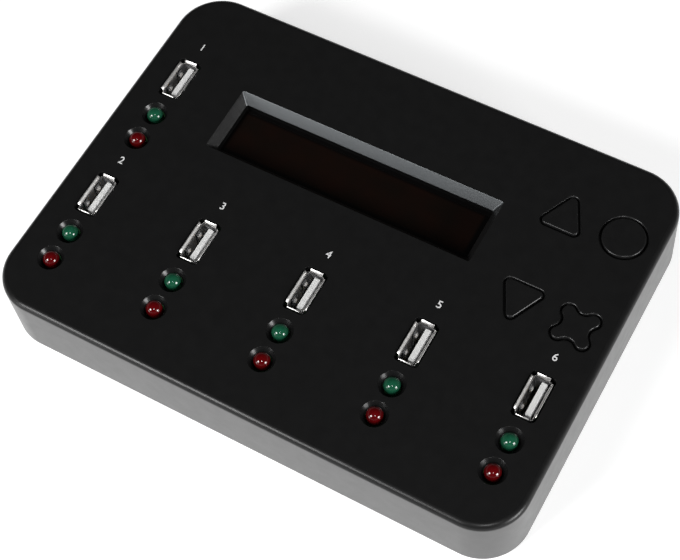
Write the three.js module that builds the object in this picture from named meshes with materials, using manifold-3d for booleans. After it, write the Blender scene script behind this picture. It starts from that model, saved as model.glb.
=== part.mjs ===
// Standalone USB flash drive duplicator: a flat black box with six upright sockets, twelve lamps,
// a character display and four push buttons on its face. Millimetres, +X right along the port row,
// +Y towards the rear, +Z up, origin under the middle of the box on the surface it stands on.
import * as THREE from 'three';
import { mergeVertices } from 'three/addons/utils/BufferGeometryUtils.js';
import Module from 'manifold-3d';

const wasm = await Module();
wasm.setup();

// Case
const box = {
  width: 172,
  depth: 124.8,
  height: 23.6,
  cornerRadius: 14.6,
  edgeRadius: 2.1,
  wall: 2,
  roof: 2,
};
const floorPlate = { thickness: 2.4, clearance: 0.3 };
const foot = { radius: 5, stand: 1.2, recess: 0.6, clearance: 0.3, inset: 17 };

// Sockets: a formed shell with flared lips and sprung fingers round a white tongue
const port = {
  sideInset: 12.8,
  frontInset: 42.6,
  shellLength: 13.1,
  shellWidth: 5.7,
  sheet: 0.3,
  lipRise: 1.1,
  lipSpread: 0.72,
  lipLength: 11.3,
  lipWidth: 4.1,
  proud: 0.2,
  cutClearance: 0.3,
  cutCorner: 1.5,
  cutRim: 0.1,
};
const lipBowShare = 0.3;
const finger = { width: 2, slotGap: 0.3, pitch: 6.1, bend: 0.38, rootDepth: 8, tipDepth: 1.8 };
const tongue = { endGap: 0.7, thickness: 1.84, fingerGap: 0.31, tipDepth: 1.2 };
const tongueBase = { height: 3.2, clearance: 0.1 };

// Lamps: round 5 mm bodies on two legs, their domes standing out of countersunk holes
const lamp = {
  radius: 2.5,
  flangeRadius: 2.9,
  flangeHeight: 1,
  barrel: 6.1,
  domeDepth: 0.9,
  legWidth: 0.5,
  legPitch: 2.54,
  clearance: 0.3,
  sinkRadius: 4.1,
  sinkDepth: 1.8,
  portDistance: 14.65,
  pitch: 10.16,
};

// Display: bevelled recess in the face, window under it, module below
const recess = {
  portGap: 20.5,
  buttonGap: 18.05,
  depth: 22.6,
  bevelWidth: 2.3,
  bevelDrop: 3.3,
  drop: 5.5,
  corner: 0.6,
  collar: 0.8,
};
const pane = { thickness: 1.5, lap: 1.9, seatGap: 0.3 };
const moduleBoard = { switchGap: 2.5, frontMargin: 7.2, thickness: 1.6, holeInset: 3 };
const headerShare = 0.33;
const header = { length: 40.6, width: 2.5, sideInset: 5.1, edgeInset: 0.6 };
const frameCan = { sideMargin: 3.6, frontMargin: 1, metal: 0.5, windowMargin: 0.5, paneGap: 0.3 };
const peg = { radius: 1, postRadius: 1.9, reach: 0.7, clearance: 0.3 };

// Buttons: caps in four shapes, each kept by a flange and standing on a tactile switch
const button = {
  width: 12.65,
  sideInset: 11.7,
  columnPitch: 18.3,
  proud: 0.3,
  gap: 0.6,
  rim: 0.5,
  edge: 0.45,
  flange: 1,
  flangeHeight: 1,
  flangeClearance: 0.3,
  roofGap: 0.3,
  stemRadius: 2,
};
const roundDiameter = 14.2;
const triangleCornerShare = 0.151;
const crossLobeShare = 0.2016;
const crossValleyShare = 0.204;
const crossValleyDepthShare = 0.1296;
const tact = { side: 6, height: 3.5, plungerRadius: 1.75, plungerRise: 1.5, bore: 1.6, clearance: 0.3 };
const plungerDip = 1;

// Where things stand, as shares of the depth from the row of sockets to the rear
const sourcePortShare = 0.5767;
const recessShare = 0.5007;
const middleRowShare = 0.2996;
const rearRowShare = 0.6959;

// Main board with its posts, screws and parts
const board = { thickness: 1.6, floorGap: 3.2, wallGap: 0.8, bossGap: 0.5 };
const post = { radius: 3, boardGap: 0.8, sideOffset: 40 };
const boardScrew = { radius: 1.25, headRadius: 2.5, headHeight: 1.8, length: 7, clearance: 0.3 };
const boss = { radius: 3.25, wallGap: 0.72 };
const caseScrew = { radius: 1.5, headRadius: 2.8, headHeight: 1.7, length: 10, clearance: 0.3 };
const driveSlot = { length: 3, width: 0.6, depth: 0.9 };
const jack = {
  width: 9,
  depth: 13,
  roofGap: 3.6,
  noseRadius: 4,
  boreRadius: 3.15,
  boreDepth: 9.5,
  pinRadius: 1,
  pinRecess: 1,
  clearance: 0.3,
};
const jackAxisShare = 0.602;
const chip = { side: 14, height: 1.4 };
const memory = { length: 10, width: 6, height: 1.2 };
const can = { radius: 4, height: 10, jackGap: 14 };

// One overrun serves every cut, and these counts set how finely round shapes are drawn
const overrun = 1;
const cornerSteps = 7;
const tightCornerSteps = 2;
const edgeSteps = 4;
const buttonSteps = 5;
const rimSteps = 2;
const roundSides = 24;
const lampSides = 16;
const smallSides = 12;
const domeSteps = 4;

// Levels and places worked out from the sizes above
const half = 0.5;
const caseLow = foot.stand;
const face = caseLow + box.height;
const roofLow = face - box.roof;
const floorTop = caseLow + floorPlate.thickness;
const boardLow = floorTop + board.floorGap;
const boardTop = boardLow + board.thickness;
const innerWidth = box.width - 2 * box.wall;
const innerDepth = box.depth - 2 * box.wall;
const innerCorner = box.cornerRadius - box.wall;
const bossReach = innerCorner - boss.wallGap - boss.radius;
const bossInset = box.cornerRadius - bossReach * Math.SQRT1_2;
const portCount = 6;
const rowCount = portCount - 1;
const firstPortX = port.sideInset - half * box.width;
const portPitch = -2 * firstPortX / (rowCount - 1);
const portRowY = port.frontInset - half * box.depth;
const rearSpace = half * box.depth - portRowY;
const portTop = face + port.proud;
const capTop = face + button.proud;
const buttonRoundX = half * box.width - button.sideInset;
const buttonTriangleX = buttonRoundX - button.columnPitch;
const rearRowY = portRowY + rearRowShare * rearSpace;
const middleRowY = portRowY + middleRowShare * rearSpace;
const recessLeft = firstPortX + recess.portGap;
const recessWidth = buttonTriangleX - recess.buttonGap - recessLeft;
const recessX = recessLeft + half * recessWidth;
const recessY = portRowY + recessShare * rearSpace;
const windowWidth = recessWidth - 2 * recess.bevelWidth;
const windowDepth = recess.depth - 2 * recess.bevelWidth;
const paneTop = face - recess.drop;
const paneLow = paneTop - pane.thickness;
const frameTop = paneLow - frameCan.paneGap;
const stackHeight = frameTop - boardTop - moduleBoard.thickness;
const moduleLow = boardTop + headerShare * stackHeight;
const moduleTop = moduleLow + moduleBoard.thickness;
const moduleMargin = recess.buttonGap - half * tact.side - moduleBoard.switchGap;
const moduleWidth = recessWidth + 2 * moduleMargin;
const moduleDepth = recess.depth + 2 * moduleBoard.frontMargin;
const domeCentre = face - lamp.domeDepth;
const lampLow = domeCentre - lamp.barrel;
const flangeTop = roofLow - button.roofGap;
const flangeLow = flangeTop - button.flangeHeight;
const plungerTop = boardTop + tact.height + tact.plungerRise;
const jackX = half * (buttonRoundX + buttonTriangleX);
const jackFront = half * innerDepth - jack.clearance;
const jackTop = roofLow - jack.roofGap;
const jackAxis = boardTop + jackAxisShare * (jackTop - boardTop);

const ports = Array.from({ length: portCount }, (_, index) => (index === 0
  ? { name: 1, x: firstPortX, y: portRowY + sourcePortShare * rearSpace }
  : { name: index + 1, x: firstPortX + (index - 1) * portPitch, y: portRowY }));

const corners = [
  { name: 1, sx: -1, sy: -1 },
  { name: 2, sx: 1, sy: -1 },
  { name: 3, sx: 1, sy: 1 },
  { name: 4, sx: -1, sy: 1 },
];

const posts = [
  { name: 1, x: firstPortX + half * portPitch, y: portRowY - lamp.portDistance - half * lamp.pitch },
  { name: 2, x: -firstPortX - half * portPitch, y: portRowY - lamp.portDistance - half * lamp.pitch },
  { name: 3, x: recessX + post.sideOffset, y: recessY + half * moduleDepth + post.boardGap + post.radius },
  { name: 4, x: recessX - post.sideOffset, y: recessY + half * moduleDepth + post.boardGap + post.radius },
];

// Outlines: lists of points, counter-clockwise
function arc(x, y, radius, start, sweep, steps) {
  return Array.from({ length: steps + 1 }, (_, i) => {
    const angle = start + sweep * i / steps;
    return new THREE.Vector2(x + radius * Math.cos(angle), y + radius * Math.sin(angle));
  });
}

function rectangle(width, depth) {
  return corners.map(({ sx, sy }) => new THREE.Vector2(half * sx * width, half * sy * depth));
}

function roundedRectangle(width, depth, radius, steps = cornerSteps) {
  const x = half * width - radius;
  const y = half * depth - radius;
  const quarter = half * Math.PI;
  return corners.flatMap(({ sx, sy }, i) => arc(sx * x, sy * y, radius, (i - 2) * quarter, quarter, steps));
}

function circle(radius, sides = roundSides) {
  return arc(0, 0, radius, 0, 2 * Math.PI, sides).slice(0, sides);
}

function triangleOutline(grow, pointing) {
  const radius = triangleCornerShare * button.width;
  const reach = half * button.width - radius;
  const lean = Math.atan2(2 * reach, reach);
  const steps = buttonSteps;
  const points = [
    ...arc(0, reach, radius + grow, half * Math.PI - lean, 2 * lean, steps),
    ...arc(-reach, -reach, radius + grow, half * Math.PI + lean, Math.PI - lean, steps),
    ...arc(reach, -reach, radius + grow, 1.5 * Math.PI, Math.PI - lean, steps),
  ];
  return pointing > 0 ? points : points.map((p) => new THREE.Vector2(-p.x, -p.y));
}

function crossOutline(grow) {
  const lobe = crossLobeShare * button.width;
  const valley = crossValleyShare * button.width;
  const lobeAt = half * button.width - lobe;
  const valleyAt = half * button.width - crossValleyDepthShare * button.width + valley;
  const quarter = half * Math.PI;
  const across = Math.hypot(lobeAt, valleyAt - lobeAt);
  const lean = quarter - Math.acos((lobe + valley) / across) - Math.atan2(valleyAt - lobeAt, lobeAt);
  const arm = [
    ...arc(lobeAt, lobeAt, lobe + grow, -lean, quarter + 2 * lean, buttonSteps),
    ...arc(0, valleyAt, valley - grow, lean - quarter, -2 * lean, buttonSteps),
  ];
  return corners.flatMap((corner, turn) => (
    arm.map((p) => p.clone().rotateAround(new THREE.Vector2(), turn * quarter))));
}

// Solids
function toSolid(geometry) {
  const bare = geometry.clone();
  bare.deleteAttribute('normal');
  bare.deleteAttribute('uv');
  const merged = mergeVertices(bare);
  return new wasm.Manifold(new wasm.Mesh({
    numProp: 3,
    vertProperties: Float32Array.from(merged.attributes.position.array),
    triVerts: Uint32Array.from(merged.index.array),
  }));
}

function toGeometry(solid) {
  const mesh = solid.getMesh();
  const geometry = new THREE.BufferGeometry();
  geometry.setAttribute('position', new THREE.BufferAttribute(Float32Array.from(mesh.vertProperties), 3));
  geometry.setIndex(new THREE.BufferAttribute(Uint32Array.from(mesh.triVerts), 1));
  geometry.computeVertexNormals();
  return geometry;
}

function stack(levels) {
  const count = levels[0].outline.length;
  const positions = levels.flatMap(({ outline, z }) => outline.flatMap((p) => [p.x, p.y, z]));
  const index = [];
  for (let level = 0; level + 1 < levels.length; level += 1) {
    for (let i = 0; i < count; i += 1) {
      const low = level * count + i;
      const next = level * count + ((i + 1) % count);
      index.push(low, next, next + count, low, next + count, low + count);
    }
  }
  const last = (levels.length - 1) * count;
  const bottom = THREE.ShapeUtils.triangulateShape(levels[0].outline, []);
  const top = THREE.ShapeUtils.triangulateShape(levels[levels.length - 1].outline, []);
  bottom.forEach(([a, b, c]) => index.push(a, c, b));
  top.forEach(([a, b, c]) => index.push(last + a, last + b, last + c));
  const geometry = new THREE.BufferGeometry();
  geometry.setAttribute('position', new THREE.Float32BufferAttribute(positions, 3));
  geometry.setIndex(index);
  return toSolid(geometry);
}

function prism(outline, low, high) {
  return stack([{ outline, z: low }, { outline, z: high }]);
}

function moved(solid, x, y, z = 0) {
  return solid.translate([x, y, z]);
}

function block(width, depth, low, high, x = 0, y = 0) {
  const geometry = new THREE.BoxGeometry(width, depth, high - low);
  return toSolid(geometry.translate(x, y, half * (low + high)));
}

function rod(radius, low, high, x = 0, y = 0, sides = smallSides) {
  const geometry = new THREE.CylinderGeometry(radius, radius, high - low, sides);
  return toSolid(geometry.rotateX(half * Math.PI).translate(x, y, half * (low + high)));
}

function rodAlongY(radius, front, back, x, z, sides = roundSides) {
  const geometry = new THREE.CylinderGeometry(radius, radius, back - front, sides);
  return toSolid(geometry.translate(x, half * (front + back), z));
}

function turned(profile, sides, x = 0, y = 0) {
  const points = profile.map(([radius, z]) => new THREE.Vector2(radius, z));
  const geometry = new THREE.LatheGeometry(points, sides);
  return toSolid(geometry.rotateX(half * Math.PI).translate(x, y, 0));
}

function joined(solids) {
  return solids.reduce((sum, solid) => sum.add(solid));
}

function cut(solid, tools) {
  return tools.reduce((rest, tool) => rest.subtract(tool), solid);
}

// A hole through the roof whose edge on the face is rounded over by the rim
function easedHole(outlineAt, rim) {
  const levels = [{ outline: outlineAt(0), z: roofLow - overrun }];
  for (let step = 0; step <= rimSteps; step += 1) {
    const angle = half * Math.PI * step / rimSteps;
    levels.push({ outline: outlineAt(rim * (1 - Math.cos(angle))), z: face - rim * (1 - Math.sin(angle)) });
  }
  levels.push({ outline: outlineAt(rim), z: face + overrun });
  return stack(levels);
}

function roundOutline(grow) {
  return circle(half * roundDiameter + grow);
}

const buttons = [
  { name: 'back', x: buttonTriangleX, y: rearRowY, outlineAt: (grow) => triangleOutline(grow, 1) },
  { name: 'round', x: buttonRoundX, y: rearRowY, outlineAt: roundOutline },
  { name: 'forward', x: buttonTriangleX, y: middleRowY, outlineAt: (grow) => triangleOutline(grow, -1) },
  { name: 'cross', x: buttonRoundX, y: middleRowY, outlineAt: crossOutline },
];

const lamps = ports.flatMap((place) => ['green', 'red'].map((colour, index) => ({
  name: `lamp_${colour}_${place.name}`,
  colour,
  x: place.x,
  y: place.y - lamp.portDistance - index * lamp.pitch,
})));

// Top cover
function coverShell() {
  const outer = [{ outline: roundedRectangle(box.width, box.depth, box.cornerRadius), z: caseLow }];
  for (let step = 0; step <= edgeSteps; step += 1) {
    const angle = half * Math.PI * step / edgeSteps;
    const inset = box.edgeRadius * (1 - Math.cos(angle));
    outer.push({
      outline: roundedRectangle(box.width - 2 * inset, box.depth - 2 * inset, box.cornerRadius - inset),
      z: face - box.edgeRadius + box.edgeRadius * Math.sin(angle),
    });
  }
  const inner = roundedRectangle(innerWidth, innerDepth, innerCorner);
  return stack(outer).subtract(prism(inner, caseLow - overrun, roofLow));
}

function displayCollar() {
  const outline = rectangle(recessWidth + 2 * recess.collar, recess.depth + 2 * recess.collar);
  return moved(prism(outline, paneTop, roofLow + half * box.roof), recessX, recessY);
}

function displayCut() {
  const slope = recess.bevelWidth / recess.bevelDrop;
  const outline = (spread) => roundedRectangle(
    windowWidth + 2 * spread,
    windowDepth + 2 * spread,
    recess.corner,
    tightCornerSteps,
  );
  return moved(stack([
    { outline: outline(0), z: paneTop - overrun },
    { outline: outline(0), z: face - recess.bevelDrop },
    { outline: outline(recess.bevelWidth + slope * overrun), z: face + overrun },
  ]), recessX, recessY);
}

function portCut(place) {
  const width = port.shellWidth + 2 * (port.lipSpread + port.cutClearance);
  const depth = port.shellLength + 2 * (port.lipSpread + port.cutClearance);
  const outlineAt = (grow) => roundedRectangle(
    width + 2 * grow,
    depth + 2 * grow,
    port.cutCorner + grow,
    tightCornerSteps,
  );
  return moved(easedHole(outlineAt, port.cutRim), place.x, place.y);
}

function lampCut({ x, y }) {
  const hole = lamp.radius + lamp.clearance;
  const slope = (lamp.sinkRadius - hole) / lamp.sinkDepth;
  const profile = [
    [0, roofLow - overrun],
    [hole, roofLow - overrun],
    [hole, face - lamp.sinkDepth],
    [lamp.sinkRadius + slope * overrun, face + overrun],
    [0, face + overrun],
  ];
  return turned(profile, roundSides, x, y);
}

// Room under the roof for a flange, wherever a boss or a wall comes near it
function lampPocket({ x, y }) {
  return rod(lamp.flangeRadius + lamp.clearance, lampLow - overrun, roofLow, x, y, lampSides);
}

function buttonPocket({ x, y, outlineAt }) {
  const outline = outlineAt(button.flange + button.flangeClearance);
  return moved(prism(outline, flangeLow - overrun, roofLow), x, y);
}

function bossPlace({ sx, sy }) {
  return { x: sx * (half * box.width - bossInset), y: sy * (half * box.depth - bossInset) };
}

function pegPlace({ sx, sy }) {
  return {
    x: recessX + sx * (half * moduleWidth - moduleBoard.holeInset),
    y: recessY + sy * (half * moduleDepth - moduleBoard.holeInset),
  };
}

function topCover() {
  const inRoof = roofLow + half * box.roof;
  const bossPilot = caseScrew.radius + caseScrew.clearance;
  const bossPilotTop = caseLow + caseScrew.length + overrun;
  const postPilot = boardScrew.radius + boardScrew.clearance;
  const postPilotTop = boardLow + boardScrew.length + overrun;
  const bosses = corners.map(bossPlace);
  const pegs = corners.map(pegPlace);
  const added = [
    displayCollar(),
    ...bosses.map(({ x, y }) => rod(boss.radius, floorTop, inRoof, x, y)),
    ...posts.map(({ x, y }) => rod(post.radius, boardTop, inRoof, x, y)),
    ...pegs.map(({ x, y }) => rod(peg.postRadius, moduleTop, inRoof, x, y)),
    ...pegs.map(({ x, y }) => rod(peg.radius, moduleLow - peg.reach, moduleTop + overrun, x, y)),
  ];
  const removed = [
    displayCut(),
    ...ports.map(portCut),
    ...lamps.map(lampCut),
    ...lamps.map(lampPocket),
    ...buttons.map(buttonPocket),
    ...buttons.map(({ x, y, outlineAt }) => moved(easedHole(outlineAt, button.rim), x, y)),
    ...bosses.map(({ x, y }) => rod(bossPilot, floorTop - overrun, bossPilotTop, x, y)),
    ...posts.map(({ x, y }) => rod(postPilot, boardTop - overrun, postPilotTop, x, y)),
    rodAlongY(
      jack.noseRadius + jack.clearance,
      half * innerDepth - overrun,
      half * box.depth + overrun,
      jackX,
      jackAxis,
    ),
  ];
  return cut(joined([coverShell(), ...added]), removed);
}

// Floor plate with countersunk screw holes and foot pockets
function footPlace({ sx, sy }) {
  return { x: sx * (half * box.width - foot.inset), y: sy * (half * box.depth - foot.inset) };
}

function bottomCover() {
  const gap = floorPlate.clearance;
  const outline = roundedRectangle(innerWidth - 2 * gap, innerDepth - 2 * gap, innerCorner - gap);
  const hole = caseScrew.radius + caseScrew.clearance;
  const sink = caseScrew.headRadius + caseScrew.clearance;
  const slope = (caseScrew.headRadius - caseScrew.radius) / caseScrew.headHeight;
  const profile = [
    [0, caseLow - overrun],
    [sink + slope * overrun, caseLow - overrun],
    [hole, caseLow + caseScrew.headHeight],
    [hole, floorTop + overrun],
    [0, floorTop + overrun],
  ];
  const sinks = corners.map(bossPlace).map(({ x, y }) => turned(profile, lampSides, x, y));
  const pocket = foot.radius + foot.clearance;
  const pockets = corners.map(footPlace).map(({ x, y }) => (
    rod(pocket, caseLow - overrun, caseLow + foot.recess, x, y, roundSides)));
  return cut(prism(outline, caseLow, floorTop), [...sinks, ...pockets]);
}

function rubberFoot({ x, y }) {
  return rod(foot.radius, 0, caseLow + foot.recess, x, y, roundSides);
}

function driveCut(low, high, x, y) {
  return [
    block(driveSlot.length, driveSlot.width, low, high, x, y),
    block(driveSlot.width, driveSlot.length, low, high, x, y),
  ];
}

function coverScrew({ x, y }) {
  const profile = [
    [0, caseLow],
    [caseScrew.headRadius, caseLow],
    [caseScrew.radius, caseLow + caseScrew.headHeight],
    [caseScrew.radius, caseLow + caseScrew.length],
    [0, caseLow + caseScrew.length],
  ];
  const slots = driveCut(caseLow - overrun, caseLow + driveSlot.depth, x, y);
  return cut(turned(profile, smallSides, x, y), slots);
}

// Main board and what it carries
function mainBoard() {
  const width = innerWidth - 2 * board.wallGap;
  const depth = innerDepth - 2 * board.wallGap;
  const outline = roundedRectangle(width, depth, innerCorner - board.wallGap);
  const low = boardLow - overrun;
  const high = boardTop + overrun;
  const notch = boss.radius + board.bossGap;
  const hole = boardScrew.radius + boardScrew.clearance;
  const notches = corners.map(bossPlace).map(({ x, y }) => rod(notch, low, high, x, y));
  const holes = posts.map(({ x, y }) => rod(hole, low, high, x, y));
  return cut(prism(outline, boardLow, boardTop), [...notches, ...holes]);
}

function boardFixing({ x, y }) {
  const headLow = boardLow - boardScrew.headHeight;
  const inHead = boardLow - half * boardScrew.headHeight;
  const head = rod(boardScrew.headRadius, headLow, boardLow, x, y);
  const shank = rod(boardScrew.radius, inHead, boardLow + boardScrew.length, x, y);
  return cut(head.add(shank), driveCut(headLow - overrun, headLow + driveSlot.depth, x, y));
}

function slantedPlate(levels, depth, y) {
  return stack(levels.map(({ x, z }) => ({
    outline: rectangle(port.sheet, depth).map((p) => new THREE.Vector2(p.x + x, p.y + y)),
    z,
  })));
}

function lip(wallCentre, length) {
  const rise = port.lipRise;
  return slantedPlate([
    { x: wallCentre, z: portTop - rise - port.sheet },
    { x: wallCentre, z: portTop - rise },
    { x: wallCentre + lipBowShare * port.lipSpread, z: portTop - half * rise },
    { x: wallCentre + port.lipSpread, z: portTop },
  ], length, 0);
}

function springFinger(side, y) {
  const wallCentre = half * (port.shellWidth - port.sheet);
  const strip = slantedPlate([
    { x: wallCentre, z: portTop - finger.rootDepth - port.sheet },
    { x: wallCentre, z: portTop - finger.rootDepth },
    { x: wallCentre - finger.bend, z: portTop - finger.tipDepth },
  ], finger.width, y);
  return side > 0 ? strip : strip.mirror([1, 0, 0]);
}

function portShell(place) {
  const tubeTop = portTop - port.lipRise;
  const outer = block(port.shellWidth, port.shellLength, boardTop, tubeTop);
  const inner = block(
    port.shellWidth - 2 * port.sheet,
    port.shellLength - 2 * port.sheet,
    boardTop - overrun,
    tubeTop + overrun,
  );
  const slotTop = portTop - port.lipRise - port.sheet;
  const slots = [-1, 1].map((step) => block(
    port.shellWidth + 2 * overrun,
    finger.width + 2 * finger.slotGap,
    portTop - finger.rootDepth,
    slotTop,
    0,
    half * step * finger.pitch,
  ));
  const wideWall = half * (port.shellWidth - port.sheet);
  const endWall = half * (port.shellLength - port.sheet);
  const lips = corners.map((corner, turn) => {
    const wide = turn % 2 === 0;
    return lip(wide ? wideWall : endWall, wide ? port.lipLength : port.lipWidth).rotate([0, 0, turn * 90]);
  });
  const fingers = [-1, 1].flatMap((side) => [-1, 1].map((step) => (
    springFinger(side, half * step * finger.pitch))));
  return moved(joined([cut(outer, [inner, ...slots]), ...lips, ...fingers]), place.x, place.y);
}

function portTongue(place) {
  const gap = 2 * (port.sheet + tongueBase.clearance);
  const baseTop = boardTop + tongueBase.height;
  const base = block(port.shellWidth - gap, port.shellLength - gap, boardTop, baseTop);
  const fingerInside = half * port.shellWidth - port.sheet - finger.bend;
  const blade = block(
    tongue.thickness,
    port.shellLength - 2 * (port.sheet + tongue.endGap),
    baseTop - half * tongueBase.height,
    portTop - tongue.tipDepth,
    fingerInside - tongue.fingerGap - half * tongue.thickness,
  );
  return moved(base.add(blade), place.x, place.y);
}

function portLamp({ x, y }) {
  const flangeRoof = lampLow + lamp.flangeHeight;
  const profile = [
    [0, lampLow],
    [lamp.flangeRadius, lampLow],
    [lamp.flangeRadius, flangeRoof],
    [lamp.radius, flangeRoof],
  ];
  for (let step = 0; step <= domeSteps; step += 1) {
    const angle = half * Math.PI * step / domeSteps;
    profile.push([lamp.radius * Math.cos(angle), domeCentre + lamp.radius * Math.sin(angle)]);
  }
  const legTop = lampLow + half * lamp.flangeHeight;
  const legs = [-1, 1].map((side) => block(
    lamp.legWidth,
    lamp.legWidth,
    boardTop,
    legTop,
    x + half * side * lamp.legPitch,
    y,
  ));
  return joined([turned(profile, lampSides, x, y), ...legs]);
}

// Display window and module
function displayWindow() {
  const outline = rectangle(windowWidth + 2 * pane.lap, windowDepth + 2 * pane.lap);
  return moved(prism(outline, paneLow, paneTop), recessX, recessY);
}

function displayBoard() {
  const plate = moved(prism(rectangle(moduleWidth, moduleDepth), moduleLow, moduleTop), recessX, recessY);
  const radius = peg.radius + peg.clearance;
  const holes = corners.map(pegPlace).map(({ x, y }) => (
    rod(radius, moduleLow - overrun, moduleTop + overrun, x, y)));
  return cut(plate, holes);
}

function displayHeader() {
  const x = recessX - half * moduleWidth + header.sideInset + half * header.length;
  const y = recessY + half * moduleDepth - header.edgeInset - half * header.width;
  return block(header.length, header.width, boardTop, moduleLow, x, y);
}

const canWidth = recessWidth + 2 * frameCan.sideMargin;
const canDepth = recess.depth + 2 * frameCan.frontMargin;

function displayFrame() {
  const margin = 2 * frameCan.windowMargin;
  const metal = frameCan.metal;
  const shell = block(canWidth, canDepth, moduleTop, frameTop, recessX, recessY);
  const hollow = block(
    canWidth - 2 * metal,
    canDepth - 2 * metal,
    moduleTop - overrun,
    frameTop - metal,
    recessX,
    recessY,
  );
  const opening = block(
    windowWidth + margin,
    windowDepth + margin,
    frameTop - metal - overrun,
    frameTop + overrun,
    recessX,
    recessY,
  );
  return cut(shell, [hollow, opening]);
}

function displayGlass() {
  const inset = 2 * (frameCan.metal + pane.seatGap);
  const top = frameTop - frameCan.metal - pane.seatGap;
  return block(canWidth - inset, canDepth - inset, moduleTop, top, recessX, recessY);
}

// Buttons and the switches under them
function buttonCap({ x, y, outlineAt }) {
  const levels = [{ outline: outlineAt(-button.gap), z: flangeLow }];
  for (let step = 0; step <= rimSteps; step += 1) {
    const angle = half * Math.PI * step / rimSteps;
    const inset = button.edge * (1 - Math.cos(angle));
    levels.push({
      outline: outlineAt(-button.gap - inset),
      z: capTop - button.edge * (1 - Math.sin(angle)),
    });
  }
  const flange = prism(outlineAt(button.flange), flangeLow, flangeTop);
  const stem = rod(button.stemRadius, plungerTop, flangeLow + half * button.flangeHeight);
  return moved(joined([stack(levels), flange, stem]), x, y);
}

function switchBody({ x, y }) {
  const top = boardTop + tact.height;
  const bore = rod(tact.plungerRadius + tact.clearance, top - tact.bore, top + overrun, x, y);
  return block(tact.side, tact.side, boardTop, top, x, y).subtract(bore);
}

function switchPlunger({ x, y }) {
  return rod(tact.plungerRadius, boardTop + tact.height - plungerDip, plungerTop, x, y);
}

// Power inlet: a block on the board whose nose fills the hole in the rear wall
function powerJack() {
  const outside = half * box.depth;
  const middle = jackFront - half * jack.depth;
  const body = block(jack.width, jack.depth, boardTop, jackTop, jackX, middle);
  const nose = rodAlongY(jack.noseRadius, jackFront - overrun, outside, jackX, jackAxis);
  const boreBack = outside - jack.boreDepth;
  const bore = rodAlongY(jack.boreRadius, boreBack, outside + overrun, jackX, jackAxis);
  const pinTip = outside - jack.pinRecess;
  const pin = rodAlongY(jack.pinRadius, boreBack - overrun, pinTip, jackX, jackAxis, smallSides);
  return body.add(nose).subtract(bore).add(pin);
}

const chipY = portRowY - lamp.portDistance - half * lamp.pitch;

function controllerChip() {
  return block(chip.side, chip.side, boardTop, boardTop + chip.height, half * portPitch, chipY);
}

function memoryChip() {
  const high = boardTop + memory.height;
  return block(memory.length, memory.width, boardTop, high, -half * portPitch, chipY);
}

function supplyCan() {
  const y = jackFront - can.radius;
  return rod(can.radius, boardTop, boardTop + can.height, jackX - can.jackGap, y, lampSides);
}

// Finishes
function finish(color, roughness, metalness = 0) {
  return new THREE.MeshStandardMaterial({ color, roughness, metalness });
}

const finishes = {
  caseBlack: finish('#171717', 0.55),
  capBlack: finish('#181818', 0.5),
  windowRed: finish('#140906', 0.1),
  boardGreen: finish('#1d4a2c', 0.5),
  steel: finish('#b9bbbd', 0.3, 1),
  white: finish('#dedfe0', 0.45),
  green: finish('#1a5238', 0.15),
  red: finish('#5a0c10', 0.15),
  switchBlack: finish('#202020', 0.6),
  glass: finish('#1a1410', 0.1),
  rubber: finish('#1c1c1c', 0.85),
  can: finish('#26364a', 0.3),
};

const duplicator = new THREE.Group();

function place(name, solid, material) {
  const mesh = new THREE.Mesh(toGeometry(solid), material);
  mesh.name = name;
  duplicator.add(mesh);
}

place('top_cover', topCover(), finishes.caseBlack);
place('bottom_cover', bottomCover(), finishes.caseBlack);
place('display_window', displayWindow(), finishes.windowRed);
place('display_board', displayBoard(), finishes.boardGreen);
place('display_frame', displayFrame(), finishes.switchBlack);
place('display_glass', displayGlass(), finishes.glass);
place('display_header', displayHeader(), finishes.switchBlack);
place('main_board', mainBoard(), finishes.boardGreen);
place('power_jack', powerJack(), finishes.switchBlack);
place('controller_chip', controllerChip(), finishes.switchBlack);
place('memory_chip', memoryChip(), finishes.switchBlack);
place('supply_capacitor', supplyCan(), finishes.can);
ports.forEach((item) => {
  place(`usb_shell_${item.name}`, portShell(item), finishes.steel);
  place(`usb_tongue_${item.name}`, portTongue(item), finishes.white);
});
lamps.forEach((item) => place(item.name, portLamp(item), finishes[item.colour]));
buttons.forEach((item) => {
  place(`button_${item.name}`, buttonCap(item), finishes.capBlack);
  place(`switch_body_${item.name}`, switchBody(item), finishes.switchBlack);
  place(`switch_plunger_${item.name}`, switchPlunger(item), finishes.switchBlack);
});
corners.forEach((corner) => {
  place(`rubber_foot_${corner.name}`, rubberFoot(footPlace(corner)), finishes.rubber);
  place(`case_screw_${corner.name}`, coverScrew(bossPlace(corner)), finishes.steel);
});
posts.forEach((item) => place(`board_screw_${item.name}`, boardFixing(item), finishes.steel));

export default duplicator;
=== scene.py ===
"""Looks of a USB flash drive duplicator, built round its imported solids.

Outlines and shapes are written in millimetres and turned into metres as each mesh is made.
"""

from math import acos, atan2, cos, hypot, pi, radians, sin, sqrt

import bmesh
import bpy
from mathutils import Euler, Matrix, Vector
from mathutils.geometry import delaunay_2d_cdt

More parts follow.
